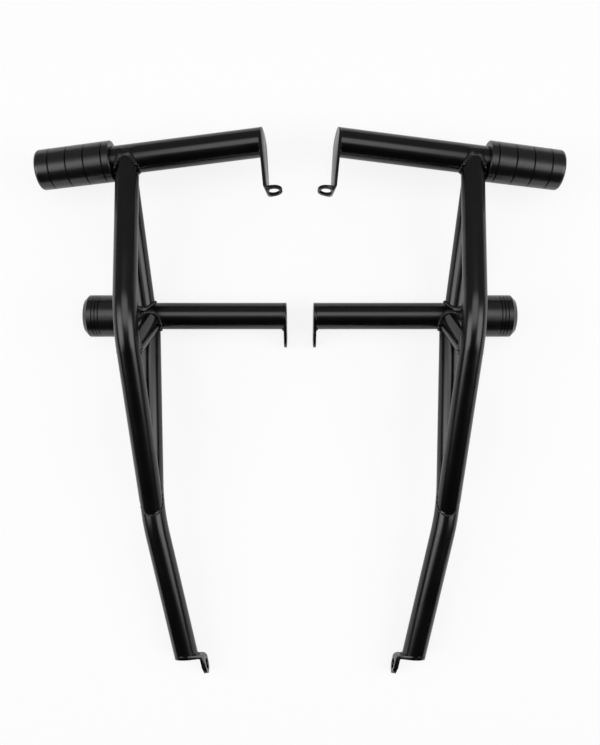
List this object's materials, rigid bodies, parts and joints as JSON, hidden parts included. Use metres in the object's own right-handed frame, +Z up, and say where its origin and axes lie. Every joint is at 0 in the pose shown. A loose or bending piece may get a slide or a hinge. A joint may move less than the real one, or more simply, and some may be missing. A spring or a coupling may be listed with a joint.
{
  "type": "motorcycle crash bars",
  "caption": "Mirrored pair of welded black steel tube crash bars with folded mounting tabs, braces and grooved plastic sliders, made to guard a motorcycle's sides in a fall.",
  "frame": {"origin": "middle of the pair's box, on the floor under it, with both halves lying on their backs", "axes": "+Z up from the floor; +X towards the outer side of the right half; +Y from the lower tabs to the top tubes"},
  "size_m": [0.5428, 0.5726, 0.1098],
  "materials": {
    "black_coat": "satin black powder coat",
    "weld_coat": "satin black powder coat over a weld bead",
    "slider_plastic": "turned black polyamide",
    "bolt_steel": "black oxide",
    "washer_steel": "zinc plated",
    "plug_steel": "bare steel"
  },
  "bodies": {
    "root": {"left_top_tube": "black_coat", "left_mid_tube": "black_coat", "left_main_tube": "black_coat", "left_rear_tube": "black_coat", "left_upper_strut": "black_coat", "left_brace": "black_coat", "left_upper_tab": "black_coat", "left_mid_tab": "black_coat", "left_lower_tab": "black_coat", "left_long_slider": "slider_plastic", "left_short_slider": "slider_plastic", "left_long_bolt": "bolt_steel", "left_short_bolt": "bolt_steel", "left_long_washer": "washer_steel", "left_short_washer": "washer_steel", "left_top_plug": "plug_steel", "left_mid_plug": "plug_steel", "left_weld_top_main": "weld_coat", "left_weld_top_strut": "weld_coat", "left_weld_mid_strut": "weld_coat", "left_weld_mid_rear": "weld_coat", "left_weld_mid_brace": "weld_coat", "left_weld_main_brace": "weld_coat", "left_weld_main_rear": "weld_coat", "left_weld_upper_tab": "weld_coat", "left_weld_mid_tab": "weld_coat", "left_weld_lower_tab": "weld_coat", "right_top_tube": "black_coat", "right_mid_tube": "black_coat", "right_main_tube": "black_coat", "right_rear_tube": "black_coat", "right_upper_strut": "black_coat", "right_brace": "black_coat", "right_upper_tab": "black_coat", "right_mid_tab": "black_coat", "right_lower_tab": "black_coat", "right_long_slider": "slider_plastic", "right_short_slider": "slider_plastic", "right_long_bolt": "bolt_steel", "right_short_bolt": "bolt_steel", "right_long_washer": "washer_steel", "right_short_washer": "washer_steel", "right_top_plug": "plug_steel", "right_mid_plug": "plug_steel", "right_weld_top_main": "weld_coat", "right_weld_top_strut": "weld_coat", "right_weld_mid_strut": "weld_coat", "right_weld_mid_rear": "weld_coat", "right_weld_mid_brace": "weld_coat", "right_weld_main_brace": "weld_coat", "right_weld_main_rear": "weld_coat", "right_weld_upper_tab": "weld_coat", "right_weld_mid_tab": "weld_coat", "right_weld_lower_tab": "weld_coat"}
  },
  "joints": []
}
